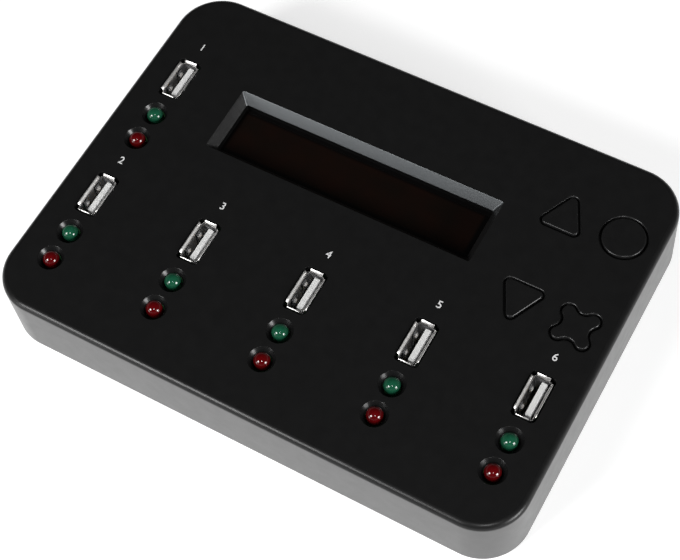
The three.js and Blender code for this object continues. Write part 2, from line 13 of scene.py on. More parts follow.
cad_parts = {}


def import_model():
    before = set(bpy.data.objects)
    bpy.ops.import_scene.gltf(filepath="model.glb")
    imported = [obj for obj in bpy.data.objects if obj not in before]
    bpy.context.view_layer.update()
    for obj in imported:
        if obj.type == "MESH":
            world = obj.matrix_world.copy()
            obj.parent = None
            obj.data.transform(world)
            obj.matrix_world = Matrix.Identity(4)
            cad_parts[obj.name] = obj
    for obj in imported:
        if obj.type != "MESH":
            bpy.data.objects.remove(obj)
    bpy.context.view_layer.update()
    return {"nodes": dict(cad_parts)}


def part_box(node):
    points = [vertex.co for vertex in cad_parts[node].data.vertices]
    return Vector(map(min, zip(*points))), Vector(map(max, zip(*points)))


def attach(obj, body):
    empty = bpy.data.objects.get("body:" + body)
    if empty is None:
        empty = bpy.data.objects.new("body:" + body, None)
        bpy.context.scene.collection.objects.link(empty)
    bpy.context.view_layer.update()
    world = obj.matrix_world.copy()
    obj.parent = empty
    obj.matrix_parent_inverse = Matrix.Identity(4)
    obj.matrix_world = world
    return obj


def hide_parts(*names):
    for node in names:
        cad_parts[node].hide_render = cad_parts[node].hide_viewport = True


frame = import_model()

# Meshes
MM = 0.001
QUARTER = pi / 2
WELD = 1e-7  # metres
NEAR = 1e-4
FILL_INSIDE = 1
FILL_NEAR = 1e-6
SHARP_ANGLE = 32.0
NORMAL_WEIGHT = 90
EASE = 0.3  # how far an eased edge's middle point lies from the corner, as a share
SLIM_SIDES = 32
THIN_SIDES = 24
FOUR = range(1, 5)  # numbers of the feet, case screws and board screws

# Case
CORNER = 14.6
CORNER_STEPS = 24
REAR_QUAD = 3 * (CORNER_STEPS + 1) - 1  # last point before an outline's straight rear side
EDGE = 2.1
EDGE_STEPS = 12
WALL_TURNS = 3  # levels of the rounded edge that still have the wall's finish
WALL = 2.0
ROOF = 2.0
FOOT_LINE = 0.35
FOOT_LINE_SHARE = 0.4  # the wall draws in by this share of its height
FLOOR = 2.4
FLOOR_GAP = 0.3
FLOOR_EDGE = 0.3
FLOOR_STEPS = 20
FOOT_SINK = 0.6
FOOT_EDGE = 0.5
FOOT_STEPS = 4
FOOT_DISH = 0.15
FOOT_DISH_SHARES = (0.55, 0.62)  # of the radius, at the dish's floor and rim
FOOT_CLEARANCE = 0.3
POCKET_EDGE = 0.15

# Display recess
BEVEL_WIDTH = 2.3
BEVEL_DROP = 3.3
BEVEL_EDGE = 0.1
BEVEL_FOOT = (0.4, 0.6)  # shares of its edge, outwards and upwards
RECESS_CORNER = 0.6
RECESS_STEPS = 5
COLLAR = 0.8
PANE_LAP = 1.9
GLOW_NEAR = (0.2, 1.8)  # dark margins of the window's glow, left and front
GLOW_FAR = (1.6, 1.2)  # and right and rear
GLOW_SOFT = 1.0
GLOW_PATCH = 9.0

# Sockets
SHELL_LENGTH = 13.1
SHELL_WIDTH = 5.7
SHEET = 0.3
SHEET_EASE = 0.06
SHEET_EASE_ANGLE = 60
SHELL_CORNER = 0.6
SHELL_STEPS = 6
LIP_RISE = 1.1
LIP_SPREAD = 0.72
LIP_LENGTH = 11.3
LIP_WIDTH = 4.1
LIP_BOW = 1.74
LIP_ROWS = (0.16, 0.34, 0.54, 0.76, 0.94)
CUT_CLEARANCE = 0.3
CUT_CORNER = 1.5
CUT_STEPS = 5
CUT_RIM = 0.1
CUT_RIM_STEPS = 2
FINGER_WIDTH = 2.0
FINGER_PITCH = 6.1
FINGER_MARKS = (-1, -0.78, -0.6, -0.3, 0, 0.3, 0.6, 0.78, 1)
FINGER_ROWS = (0.25, 0.5, 0.655, 0.68, 0.71, 0.75, 0.79, 0.83, 0.87, 0.905, 0.93, 1.0)
FINGER_ROOT = 8.0
FINGER_TIP = 1.7
FINGER_BEND = 0.38
BEND_SHARE = 0.82  # of the finger's length, where its bend is complete
BEND_POWER = 1.5
TIP_SHARE = 0.1
TIP_TURN = 0.12
FINGER_BUMP = 0.3
FREE_BUMP = 0.72
BUMP_WIDTH = 1.6
BUMP_HEIGHT = 1.7
BUMP_DROP = 1.3
SLOT_GAP = 0.3
SLOT_TOP = 1.4
TONGUE_THICK = 1.84
TONGUE_LENGTH = 11.1
TONGUE_CORNER = 0.3
TONGUE_EDGE = 0.2
TONGUE_STEPS = 4
TONGUE_OFFSET = 0.94
TONGUE_BASE = 3.2
TONGUE_BASE_CORNER = 0.4
TONGUE_BASE_EDGE = 0.15
CONTACT_PLACES = (-3.5, -1.0, 1.0, 3.5)
CONTACT_WIDTH = 1.0
CONTACT_THICK = 0.12
CONTACT_CORNER = 0.08
CONTACT_EDGE = 0.05
CONTACT_STEPS = 3
CONTACT_ROOT = 0.4
CONTACT_DROP = 1.3

# Lamps
LAMP_RADIUS = 2.5
LAMP_SIDES = 56
LAMP_FLANGE = 2.9
LAMP_FLANGE_HEIGHT = 1.0
LAMP_FLANGE_EDGE = 0.15
LAMP_BARREL = 6.1  # from the dome's centre down to the flange's foot
DOME_STEPS = 12
LAMP_HOLE = 2.8
LAMP_SINK = 4.1
LAMP_SINK_DEPTH = 1.8
LAMP_SINK_EDGE = 0.06
LAMP_SINK_LIP = 0.03
LAMP_SHADE = 3.2
LEG_WIDTH = 0.5
LEG_CORNER = 0.08
LEG_STEPS = 2
LEG_ROOT = 0.5
LEG_PITCH = 2.54
LENS_DEEP = 0.6  # the painted shade at the foot fades out from this share of the radius under the centre
LENS_CLEAR = 0.9  # up to this share over it

# Buttons
CAP_WIDTH = 12.65
CAP_GAP = 0.6
CAP_FLANGE = 1.0
CAP_FLANGE_HEIGHT = 1.0
CAP_FLANGE_DROP = 0.3
CAP_EDGE = 0.45
CAP_EDGE_STEPS = 4
CAP_RIM = 0.5
CAP_RIM_STEPS = 6
TRIANGLE_CORNER = 0.151  # shares of the cap's width
TRIANGLE_STEPS = 14
CROSS_LOBE = 0.2016
CROSS_VALLEY = 0.204
CROSS_NOTCH = 0.1296
LOBE_STEPS = 12
VALLEY_STEPS = 10
ROUND_RADIUS = 7.1
ROUND_SIDES = 72
STEM_RADIUS = 2.0
STEM_EDGE = 0.2

# Screws and posts
SCREW_RADIUS = 1.5
SCREW_HEAD = 2.8
SCREW_HEAD_HEIGHT = 1.7
SCREW_HEAD_EDGE = (0.12, 0.14)  # inwards and upwards
SCREW_SINK_EDGE = (0.1, 0.15)
SCREW_CLEARANCE = 0.3
SCREW_TIP = (0.7, 0.5)
THREAD_PITCH = 0.7
THREAD_DEPTH = 0.3
THREAD_CREST = 0.25
THREAD_FOOT = 0.5
THREAD_END = 0.6
DRIVE = ((1.6, 0.75, 0.0), (1.5, 0.6, 0.12), (0.75, 0.45, 1.0))  # reach, width and depth
BOSS_RADIUS = 3.25
POST_RADIUS = 3.0
POST_PILOT = 1.55
PILOT_SPARE = 1.0
PEG_RADIUS = 1.0
PEG_POST_RADIUS = 1.9
PEG_INSET = 3.0
PEG_REACH = 0.5
PEG_EDGE = 0.2

# Power inlet
NOSE_RADIUS = 4.0
NOSE_EDGE = 0.3
BORE_RADIUS = 3.15
BORE_DEPTH = 9.5
BORE_EDGE = 0.2
PIN_RADIUS = 1.0
PIN_RECESS = 1.0
PIN_TIP = ((0.0, 0.5), (0.12, 0.15), (0.5, 0.0))  # inwards and under the pin's end
JACK_AXIS = 14.9
JACK_HOLE = 4.3
JACK_RIM = 0.15
JACK_GAP = 0.3
JACK_CORNER = 0.5
JACK_STEPS = 4
JACK_EDGE = 0.2

# Numbers printed behind the sockets
NUMBER_HEIGHT = 2.5
NUMBER_GAP = 13.6
NUMBER_PRINT = 0.03
NUMBER_SHIFT = 0.2
NUMBER_BOLD = 0.02
NUMBER_STEPS = 6

# Places in a piece's list of materials
CASE_INK, WALL_INK, SHADED_INK, SINK_INK, GRAIN_AND_PAINTED_SHEEN_INK, RIM_INK = range(6)
OUTER_INK, PAINTED_SHADE_INK, PAINTED_HIGHLIGHT_INK = range(3)
METAL_INK = 1

# Colours, as the two ends of a mottle, and other material values
GLOSS_SHARE = 0.6  # size of the gloss's lumps as a share of the colour's
CASE_BLACK = ((0.0080, 0.0080, 0.0081), (0.0093, 0.0093, 0.0094))
CASE_GLOSS = (0.31, 0.34)
DEEP_BLACK = ((0.0050, 0.0050, 0.0051), (0.0064, 0.0064, 0.0065))
SHADE_BLACK = ((0.0004, 0.0004, 0.0004), (0.0007, 0.0007, 0.0007))
# lighter black of the rear bevel: painted sheen
PAINTED_SHEEN_BLACK = ((0.0092, 0.0100, 0.0108), (0.0112, 0.0120, 0.0128))
WINDOW_BLACK = ((0.0020, 0.0016, 0.0015), (0.0026, 0.0020, 0.0018))
WINDOW_BORDER = (0.0016, 0.0014, 0.0014)
WINDOW_GLOW = ((0.0052, 0.0034, 0.0026), (0.0074, 0.0034, 0.0024))
LENSES = {  # with the painted shade at the foot of the dome
    "green": (((0.0080, 0.070, 0.035), (0.0096, 0.086, 0.043)), (0.0010, 0.0080, 0.0042)),
    "red": (((0.076, 0.0012, 0.0020), (0.094, 0.0016, 0.0026)), (0.0090, 0.0004, 0.0006)),
}
BOARD_GREEN = ((0.010, 0.060, 0.022), (0.014, 0.080, 0.030))
BOARD_TRACK = (0.035, 0.13, 0.045)
TRACK_PITCH = 7.0
TRACK_WIDTH = 0.06

# Floor, surroundings, camera and soft lamps
FLOOR_RADIUS = 4000.0
FLOOR_SIDES = 96
FLOOR_LIFT = 0.58
EYE = (152.968, -200.760, 454.554)
EYE_TURN = (30.8147, 4.0624, 29.1491)  # degrees
EYE_LENS = 89.5907
EYE_SHIFT = (-0.024477, -0.093900)
EYE_CLIP = (0.01, 20.0)  # metres
WORLD_STOPS = [(0.0, 0.30), (0.1, 0.22), (0.22, 0.08), (0.4, 0.02), (1.0, 0.01)]
SOFTBOXES = (  # name, direction, distance, width and height in metres, brightness
    ("front_box", (-0.365, -0.74, 0.56), 1.6, 0.50, 0.50, 26.0),
    ("right_box", (0.96, -0.13, 0.25), 1.6, 0.58, 0.50, 26.0),
    ("eye_box", (0.34, -0.44, 0.82), 1.6, 0.15, 0.15, 85.0),
    ("low_box", (-0.56, -0.82, 0.13), 1.5, 0.42, 0.32, 5.5),
)


def box(name):
    """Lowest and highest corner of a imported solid, in millimetres."""
    low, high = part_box(name)
    return low / MM, high / MM


def middle(name):
    low, high = box(name)
    return (low + high) / 2


# Outlines: lists of points, counter-clockwise
def arc(x, y, radius, start, sweep, steps):
    angles = [start + sweep * i / steps for i in range(steps + 1)]
    return [(x + radius * cos(a), y + radius * sin(a)) for a in angles]


def quarter_turn(steps):
    return [QUARTER * i / steps for i in range(steps + 1)]


def rounded(width, depth, radius, steps):
    x, y = width / 2 - radius, depth / 2 - radius
    points = []
    for turn, (sx, sy) in enumerate([(-1, -1), (1, -1), (1, 1), (-1, 1)]):
        points += arc(sx * x, sy * y, radius, (turn - 2) * QUARTER, QUARTER, steps)
    return points


def circle(radius, sides=48):
    return arc(0, 0, radius, 0, 2 * pi, sides)[:-1]


def quartered(arm):
    """An outline that repeats this run of points at every quarter turn."""
    turns = [(cos(t * QUARTER), sin(t * QUARTER)) for t in range(4)]
    return [(x * c - y * s, x * s + y * c) for c, s in turns for x, y in arm]


def triangle(grow, pointing):
    """A triangular button, its tip to the back for 1 and to the front for -1."""
    radius = TRIANGLE_CORNER * CAP_WIDTH
    reach = CAP_WIDTH / 2 - radius
    lean = atan2(2 * reach, reach)
    corners = (
        (0, reach, QUARTER - lean, 2 * lean),
        (-reach, -reach, QUARTER + lean, pi - lean),
        (reach, -reach, 3 * QUARTER, pi - lean),
    )
    points = []
    for x, y, start, sweep in corners:
        points += arc(x, y, radius + grow, start, sweep, TRIANGLE_STEPS)
    return [(pointing * x, pointing * y) for x, y in points]


def cross(grow):
    lobe, valley = CROSS_LOBE * CAP_WIDTH, CROSS_VALLEY * CAP_WIDTH
    lobe_at = CAP_WIDTH / 2 - lobe
    valley_at = CAP_WIDTH / 2 - CROSS_NOTCH * CAP_WIDTH + valley
    across = hypot(lobe_at, valley_at - lobe_at)
    lean = QUARTER - acos((lobe + valley) / across)
    lean -= atan2(valley_at - lobe_at, lobe_at)
    arm = arc(lobe_at, lobe_at, lobe + grow, -lean, QUARTER + 2 * lean, LOBE_STEPS)
    arm += arc(0, valley_at, valley - grow, lean - QUARTER, -2 * lean, VALLEY_STEPS)
    return quartered(arm)


def plus(reach, width):
    return quartered([(width / 2, -width / 2), (reach, -width / 2), (reach, width / 2)])


def shifted(outline, at):
    return [(x + at[0], y + at[1]) for x, y in outline]


def panel(width, depth, corner, steps, at=(0.0, 0.0)):
    """A rounded rectangle about a point, as a function of how far it grows."""
    return lambda grow: shifted(
        rounded(width + 2 * grow, depth + 2 * grow, corner + grow, steps), at
    )


def inside(x, y, loop):
    hit = False
    for (ax, ay), (bx, by) in zip(loop, [*loop[1:], loop[0]]):
        if (ay > y) != (by > y) and x < ax + (y - ay) * (bx - ax) / (by - ay):
            hit = not hit
    return hit


def round_over(outline_at, high, edge, steps=3):
    """The levels of an upper edge rounded inwards."""
    if not edge:
        return [(outline_at(0), high)]
    return [
        (outline_at(-edge * (1 - cos(a))), high - edge * (1 - sin(a)))
        for a in quarter_turn(steps)
    ]


def linked(name, data):
    made = bpy.data.objects.new(name, data)
    bpy.context.scene.collection.objects.link(made)
    return made


def flattened(source):
    """The mesh that an object's modifiers or text come to. The object goes."""
    bpy.context.view_layer.update()
    graph = bpy.context.evaluated_depsgraph_get()
    mesh = bpy.data.meshes.new_from_object(source.evaluated_get(graph))
    bpy.data.objects.remove(source)
    return mesh


def settle(piece, replaced=None, body="case"):
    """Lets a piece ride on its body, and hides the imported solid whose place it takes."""
    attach(piece, body)
    if replaced:
        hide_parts(replaced)


class Shape:
    """A mesh under construction: rings of points joined by walls and fills."""

    def __init__(self):
        self.points = []
        self.faces = []
        self.inks = []
        self.ink = 0

    def add(self, face):
        self.faces.append(tuple(face))
        self.inks.append(self.ink)

    def ring(self, outline, level, upright=False):
        """Points at this height, or at this depth for an upright outline."""
        start = len(self.points)
        self.points += [(a, level, b) if upright else (a, b, level) for a, b in outline]
        return range(start, len(self.points))

    def wall(self, low, high):
        for i in range(len(low)):
            j = (i + 1) % len(low)
            self.add((low[i], low[j], high[j], high[i]))

    def loft(self, levels):
        rings = [self.ring(outline, z) for outline, z in levels]
        for low, high in zip(rings, rings[1:]):
            self.wall(low, high)
        return rings

    def lathe(self, profile, at, sides=48):
        """Turns (radius, height) points round a vertical line; radius 0 closes an end."""
        return self.loft([(shifted(circle(r, sides), at), z) for r, z in profile])

    def fill(self, outer, holes=(), axes=(0, 1)):
        """Closes a flat outline round its holes; axes are the two that its plane lies along."""
        order, edges = [], []
        for ring in [outer, *holes]:
            start = len(order)
            order += list(ring)
            edges += [(start + i, start + (i + 1) % len(ring)) for i in range(len(ring))]
        flat = [Vector([self.points[i][a] for a in axes]) for i in order]
        spots, _, faces, sources = delaunay_2d_cdt(flat, edges, [], FILL_INSIDE, FILL_NEAR)[:4]
        loops = [[[self.points[i][a] for a in axes] for i in hole] for hole in holes]
        spans = [[(min(values), max(values)) for values in zip(*loop)] for loop in loops]
        for face in faces:
            x, y = sum((spots[v] for v in face), Vector((0, 0))) / len(face)
            if not any(
                left < x < right and front < y < rear and inside(x, y, loop)
                for loop, ((left, right), (front, rear)) in zip(loops, spans)
            ):
                self.add(order[sources[v][0]] for v in face)

    def pierce(self, low, high, spot, hole):
        """Reopens the upright quad between two rings of points at this spot, round a hole."""
        quad = (low[spot], low[spot + 1], high[spot + 1], high[spot])
        index = self.faces.index(quad)
        del self.faces[index]
        del self.inks[index]
        self.fill(quad, [hole], (0, 2))

    def slab(self, outline_at, low, high, edge=0.0):
        """A closed solid with its upper edge rounded."""
        rings = self.loft([(outline_at(0), low), *round_over(outline_at, high, edge)])
        self.fill(rings[0])
        self.fill(rings[-1])

    def build(self, name, materials, weighted=True):
        mesh = bpy.data.meshes.new(name)
        mesh.from_pydata([Vector(p) * MM for p in self.points], [], self.faces)
        work = bmesh.new()
        work.from_mesh(mesh)
        for face, ink in zip(work.faces, self.inks):
            face.material_index = ink
            face.smooth = True
        bmesh.ops.remove_doubles(work, verts=work.verts, dist=WELD)
        bmesh.ops.recalc_face_normals(work, faces=work.faces)
        for edge in work.edges:
            if edge.is_manifold and edge.calc_face_angle() > radians(SHARP_ANGLE):
                edge.smooth = False
        work.to_mesh(mesh)
        work.free()
        piece = linked(name, mesh)
        for item in materials:
            mesh.materials.append(item)
        if weighted:
            normals = piece.modifiers.new("normals", "WEIGHTED_NORMAL")
            normals.keep_sharp = True
            normals.weight = NORMAL_WEIGHT
        return piece


# Materials
def shader_of(material):
    tree = material.node_tree
    return tree, tree.nodes["Principled BSDF"]


def node(tree, kind, **values):
    """A new node; a value is for one of its sockets or, failing that, one of its settings."""
    made = tree.nodes.new(kind)
    for key, value in values.items():
        if key in made.inputs:
            made.inputs[key].default_value = value
        else:
            setattr(made, key, value)
    return made


def noise(tree, coords, size, detail=2.0, rough=0.5):
    """Noise whose lumps are about this many millimetres across."""
    made = node(tree, "ShaderNodeTexNoise", Scale=1.0 / (size * MM), Detail=detail, Roughness=rough)
    tree.links.new(coords.outputs["Object"], made.inputs["Vector"])
    return made.outputs["Fac"]


def spread(tree, factor, low, high, start=0.3, end=0.7):
    """Maps start to end onto low to high, and holds the ends outside."""
    ends = {"From Min": start, "From Max": end, "To Min": low, "To Max": high}
    made = node(tree, "ShaderNodeMapRange", **ends)
    tree.links.new(factor, made.inputs["Value"])
    return made.outputs["Result"]


def blend(tree, factor, first, second):
    """Mixes two colours, each a plain one or another node's output."""
    made = node(tree, "ShaderNodeMix", data_type="RGBA")
    for socket, value in ((made.inputs[6], first), (made.inputs[7], second)):
        if isinstance(value, tuple):
            socket.default_value = (*value, 1.0)
        else:
            tree.links.new(value, socket)
    tree.links.new(factor, made.inputs[0])
    return made.outputs[2]


def combine(tree, operation, first, second):
    """Joins two outputs by arithmetic; the second may be a plain number."""
    made = node(tree, "ShaderNodeMath", operation=operation)
    tree.links.new(first, made.inputs[0])
    if isinstance(second, float):
        made.inputs[1].default_value = second
    else:
        tree.links.new(second, made.inputs[1])
    return made.outputs[0]


def surface(
    name, colours, patch, rough, grain=(0.28, 0.006),
    metallic=0.0, specular=0.5, tint=(1.0, 1.0, 1.0), coat=0.0, coat_rough=0.1,
):
    """Mottled colour, uneven gloss and a grain of this size and height, all from noise."""
    material = bpy.data.materials.new(name)
    material.use_nodes = True
    tree, shader = shader_of(material)
    coords = node(tree, "ShaderNodeTexCoord")
    colour = blend(tree, spread(tree, noise(tree, coords, patch), 0.0, 1.0), *colours)
    tree.links.new(colour, shader.inputs["Base Color"])
    gloss = spread(tree, noise(tree, coords, patch * GLOSS_SHARE, detail=3.0), *rough)
    tree.links.new(gloss, shader.inputs["Roughness"])
    lump, height = grain
    bump = node(tree, "ShaderNodeBump", Strength=1.0, Distance=height * MM)
    tree.links.new(noise(tree, coords, lump, rough=0.6), bump.inputs["Height"])
    tree.links.new(bump.outputs["Normal"], shader.inputs["Normal"])
    shader.inputs["Metallic"].default_value = metallic
    shader.inputs["Specular IOR Level"].default_value = specular
    shader.inputs["Specular Tint"].default_value = (*tint, 1.0)
    shader.inputs["Coat Weight"].default_value = coat
    shader.inputs["Coat Roughness"].default_value = coat_rough
    return material


def rectangle_mask(tree, coords, size, low, high, soft):
    """1 inside a rectangle of a solid's own box, fading to 0 across the soft margin, in mm."""
    split = node(tree, "ShaderNodeSeparateXYZ")
    tree.links.new(coords.outputs["Generated"], split.inputs[0])
    ramps = []
    for place, whole, first, last in zip(split.outputs[:2], size, low, high):
        ramps.append(spread(tree, place, 0.0, 1.0, first / whole, (first + soft) / whole))
        ramps.append(spread(tree, place, 1.0, 0.0, (last - soft) / whole, last / whole))
    mask = ramps[0]
    for ramp in ramps[1:]:
        mask = combine(tree, "MULTIPLY", mask, ramp)
    return mask


def window_material():
    """Smoked filter: near-black margins of differing widths round a faint red-brown glow over the
    character area.
    """
    low, high = box("display_window")
    size = (high - low)[:2]
    material = surface(
        "smoked_window", WINDOW_BLACK, patch=12.0, rough=(0.05, 0.08), grain=(4.0, 0.0006)
    )
    tree, shader = shader_of(material)
    coords = node(tree, "ShaderNodeTexCoord")
    first = [PANE_LAP + margin for margin in GLOW_NEAR]
    last = [whole - PANE_LAP - margin for whole, margin in zip(size, GLOW_FAR)]
    mask = rectangle_mask(tree, coords, size, first, last, GLOW_SOFT)
    mottle = spread(tree, noise(tree, coords, GLOW_PATCH), 0.0, 1.0)
    mixed = blend(tree, mask, WINDOW_BORDER, blend(tree, mottle, *WINDOW_GLOW))
    tree.links.new(mixed, shader.inputs["Base Color"])
    return material


def lens_material(name, colours, rim):
    """Tinted resin, with painted shade darkening it towards the foot of its dome. All lamps are
    equally high.
    """
    low, high = box("lamp_green_1")
    dome = LAMP_RADIUS / (high.z - low.z)
    material = surface(name, colours, patch=1.6, rough=(0.09, 0.12), grain=(1.6, 0.0008))
    tree, shader = shader_of(material)
    split = node(tree, "ShaderNodeSeparateXYZ")
    tree.links.new(node(tree, "ShaderNodeTexCoord").outputs["Generated"], split.inputs[0])
    start, end = 1 - dome - LENS_DEEP * dome, 1 - dome + LENS_CLEAR * dome
    # Painted shade: the colour darkens towards the dome's foot
    depth = spread(tree, split.outputs[2], 0.0, 1.0, start, end)
    body = shader.inputs["Base Color"].links[0].from_socket
    tree.links.new(blend(tree, depth, rim, body), shader.inputs["Base Color"])
    return material


def board_material():
    """Green solder mask with faint copper tracks under it."""
    material = surface(
        "solder_mask", BOARD_GREEN, patch=6.0, rough=(0.30, 0.45), grain=(0.5, 0.002)
    )
    tree, shader = shader_of(material)
    coords = node(tree, "ShaderNodeTexCoord")
    bricks = node(tree, "ShaderNodeTexBrick", Scale=1.0 / (TRACK_PITCH * MM))
    bricks.inputs["Mortar Size"].default_value = TRACK_WIDTH
    tree.links.new(coords.outputs["Object"], bricks.inputs["Vector"])
    ground = shader.inputs["Base Color"].links[0].from_socket
    mixed = blend(tree, bricks.outputs["Fac"], ground, BOARD_TRACK)
    tree.links.new(mixed, shader.inputs["Base Color"])
    return material


case_plastic = surface("case_plastic", CASE_BLACK, patch=4.0, rough=CASE_GLOSS, specular=0.38)
# A less glossy copy of the case plastic for the rounded top edge, which dims its highlight: painted
# shade
rim_plastic = surface("rim_plastic", CASE_BLACK, patch=4.0, rough=CASE_GLOSS, specular=0.24)
cap_plastic = surface("cap_plastic", CASE_BLACK, patch=3.0, rough=CASE_GLOSS, specular=0.38)
# Nearly black: painted shade on the display opening's walls and deep in the lamp holes
shaded_plastic = surface(
    "shaded_plastic", SHADE_BLACK, patch=4.0, rough=(0.55, 0.65), specular=0.1
)
# Lighter and glossier than the case plastic, for the rear bevel only: a real grain, and a painted
# sheen
grain_and_painted_sheen = surface(
    "grain_and_painted_sheen", PAINTED_SHEEN_BLACK, patch=2.0, rough=(0.42, 0.46), grain=(0.40, 0.022),
    specular=0.95, tint=(0.90, 0.96, 1.0), coat=0.4, coat_rough=0.40,
)
# A darker, less glossy copy of the case plastic for the countersinks' upper slope, which dims its
# glint: painted shade
sink_plastic = surface(
    "sink_plastic", DEEP_BLACK, patch=4.0, rough=(0.26, 0.30), grain=(0.28, 0.004), specular=0.3
)
wall_plastic = surface(
    "wall_plastic", DEEP_BLACK, patch=6.0, rough=(0.29, 0.33),
    specular=0.62, coat=0.14, coat_rough=0.30,
)
steel = surface(
    "nickel_steel", ((0.55, 0.54, 0.53), (0.61, 0.60, 0.59)),
    patch=2.0, rough=(0.34, 0.40), grain=(0.2, 0.0006), metallic=1.0,
)
# Bright copy of the nickel for the fingers' dimples: painted highlight
painted_highlight_steel = surface(
    "painted_highlight_nickel", ((0.90, 0.89, 0.88), (0.94, 0.93, 0.92)),
    patch=1.0, rough=(0.52, 0.58), grain=(0.2, 0.0006), metallic=0.5,
)
# Dark copy of the nickel for the shell below its slots' tops: painted shade
painted_shade_steel = surface(
    "painted_shade_nickel", ((0.17, 0.17, 0.175), (0.22, 0.22, 0.225)),
    patch=2.0, rough=(0.36, 0.44), grain=(0.2, 0.0006), metallic=0.4,
)
screw_steel = surface(
    "black_zinc", ((0.30, 0.30, 0.31), (0.42, 0.42, 0.43)),
    patch=0.8, rough=(0.25, 0.42), grain=(0.15, 0.002), metallic=1.0,
)
gold = surface(
    "gold_flash", ((0.75, 0.50, 0.20), (0.86, 0.62, 0.28)),
    patch=0.6, rough=(0.18, 0.30), grain=(0.1, 0.001), metallic=1.0,
)
nylon = surface(
    "white_nylon", ((0.93, 0.93, 0.92), (0.95, 0.95, 0.94)),
    patch=2.5, rough=(0.38, 0.48), grain=(0.2, 0.002),
)
lenses = {colour: lens_material(f"{colour}_lens", *tones) for colour, tones in LENSES.items()}
rubber = surface(
    "foot_rubber", ((0.010, 0.010, 0.010), (0.016, 0.016, 0.016)),
    patch=2.0, rough=(0.75, 0.9), grain=(0.4, 0.012),
)
matt_black = surface(
    "matt_black", ((0.010, 0.010, 0.011), (0.016, 0.016, 0.017)),
    patch=3.0, rough=(0.45, 0.6), grain=(0.25, 0.004),
)
print_white = surface(
    "printed_ink", ((0.72, 0.72, 0.72), (0.80, 0.80, 0.80)),
    patch=0.7, rough=(0.5, 0.6), grain=(0.15, 0.002),
)
glass_dark = surface(
    "display_glass", ((0.010, 0.007, 0.005), (0.014, 0.010, 0.007)),
    patch=10.0, rough=(0.05, 0.1), grain=(3.0, 0.0005),
)
can_sleeve = surface(
    "can_sleeve", ((0.016, 0.032, 0.070), (0.022, 0.042, 0.088)),
    patch=3.0, rough=(0.3, 0.4), grain=(0.6, 0.002),
)
floor_paper = surface(
    "floor_paper", ((0.70, 0.70, 0.70), (0.72, 0.72, 0.72)),
    patch=60.0, rough=(0.85, 0.95), grain=(0.6, 0.002), specular=0.0,
)


# Places and levels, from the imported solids
case_low, case_high = box("top_cover")
case_width, case_depth = case_high.x - case_low.x, case_high.y - case_low.y
face_top, base = case_high.z, case_low.z
roof_low = face_top - ROOF
window_low, window_high = box("display_window")
recess_at = middle("display_window")
recess_width = window_high.x - window_low.x - 2 * PANE_LAP
recess_depth = window_high.y - window_low.y - 2 * PANE_LAP
pane_top = window_high.z
port_at = {str(i): middle(f"usb_shell_{i}") for i in range(1, 7)}
lamp_at = {f"{c}_{n}": middle(f"lamp_{c}_{n}") for n in port_at for c in LENSES}
cap_outlines = {
    "back": lambda grow: triangle(grow, 1),
    "round": lambda grow: circle(ROUND_RADIUS + grow, ROUND_SIDES),
    "forward": lambda grow: triangle(grow, -1),
    "cross": cross,
}
cap_at = {n: middle(f"button_{n}") for n in cap_outlines}
screw_at = [middle(f"case_screw_{i}") for i in FOUR]
post_at = [middle(f"board_screw_{i}") for i in FOUR]
board_top = box("main_board")[1].z
module_low, module_high = box("display_board")
jack_low, jack_high = box("power_jack")
jack_at = ((jack_low.x + jack_high.x) / 2, JACK_AXIS)


# Cover
def port_hole(grow):
    across = SHELL_WIDTH + 2 * (LIP_SPREAD + CUT_CLEARANCE + grow)
    along = SHELL_LENGTH + 2 * (LIP_SPREAD + CUT_CLEARANCE + grow)
    return rounded(across, along, CUT_CORNER + grow, CUT_STEPS)


def recess_outline(grow):
    across, along = recess_width + 2 * grow, recess_depth + 2 * grow
    outline = rounded(across, along, RECESS_CORNER, RECESS_STEPS)
    return shifted(outline, recess_at)


def rim_levels(outline_at, at, rim, steps):
    """A hole's levels from the roof's underside up to the face, its edge rounded over."""
    levels = [(shifted(outline_at(0), at), roof_low)]
    for a in quarter_turn(steps):
        outline = shifted(outline_at(rim * (1 - cos(a))), at)
        levels.append((outline, face_top - rim * (1 - sin(a))))
    return levels


def cover_inlet(shape, outer, inner):
    """The power inlet's hole through the rear wall."""
    places = ((JACK_HOLE + JACK_RIM, 0), (JACK_HOLE, JACK_RIM), (JACK_HOLE, WALL))
    rim, mouth, back = [
        shape.ring(shifted(circle(r), jack_at), case_depth / 2 - y, upright=True) for r, y in places
    ]
    shape.ink = CASE_INK
    shape.wall(mouth, back)
    shape.pierce(inner[0], inner[1], REAR_QUAD, back)
    shape.ink = WALL_INK
    shape.wall(rim, mouth)
    shape.pierce(outer[1], outer[2], REAR_QUAD, rim)


def cover_holes(shape, over, under):
    """Holes for sockets and caps. Their ends join the lists of both sides of the roof."""
    holes = [(port_hole, at, CUT_RIM, CUT_RIM_STEPS) for at in port_at.values()]
    holes += [(cap_outlines[n], at, CAP_RIM, CAP_RIM_STEPS) for n, at in cap_at.items()]
    shape.ink = CASE_INK
    for hole in holes:
        rings = shape.loft(rim_levels(*hole))
        under.append(rings[0])
        over.append(rings[-1])


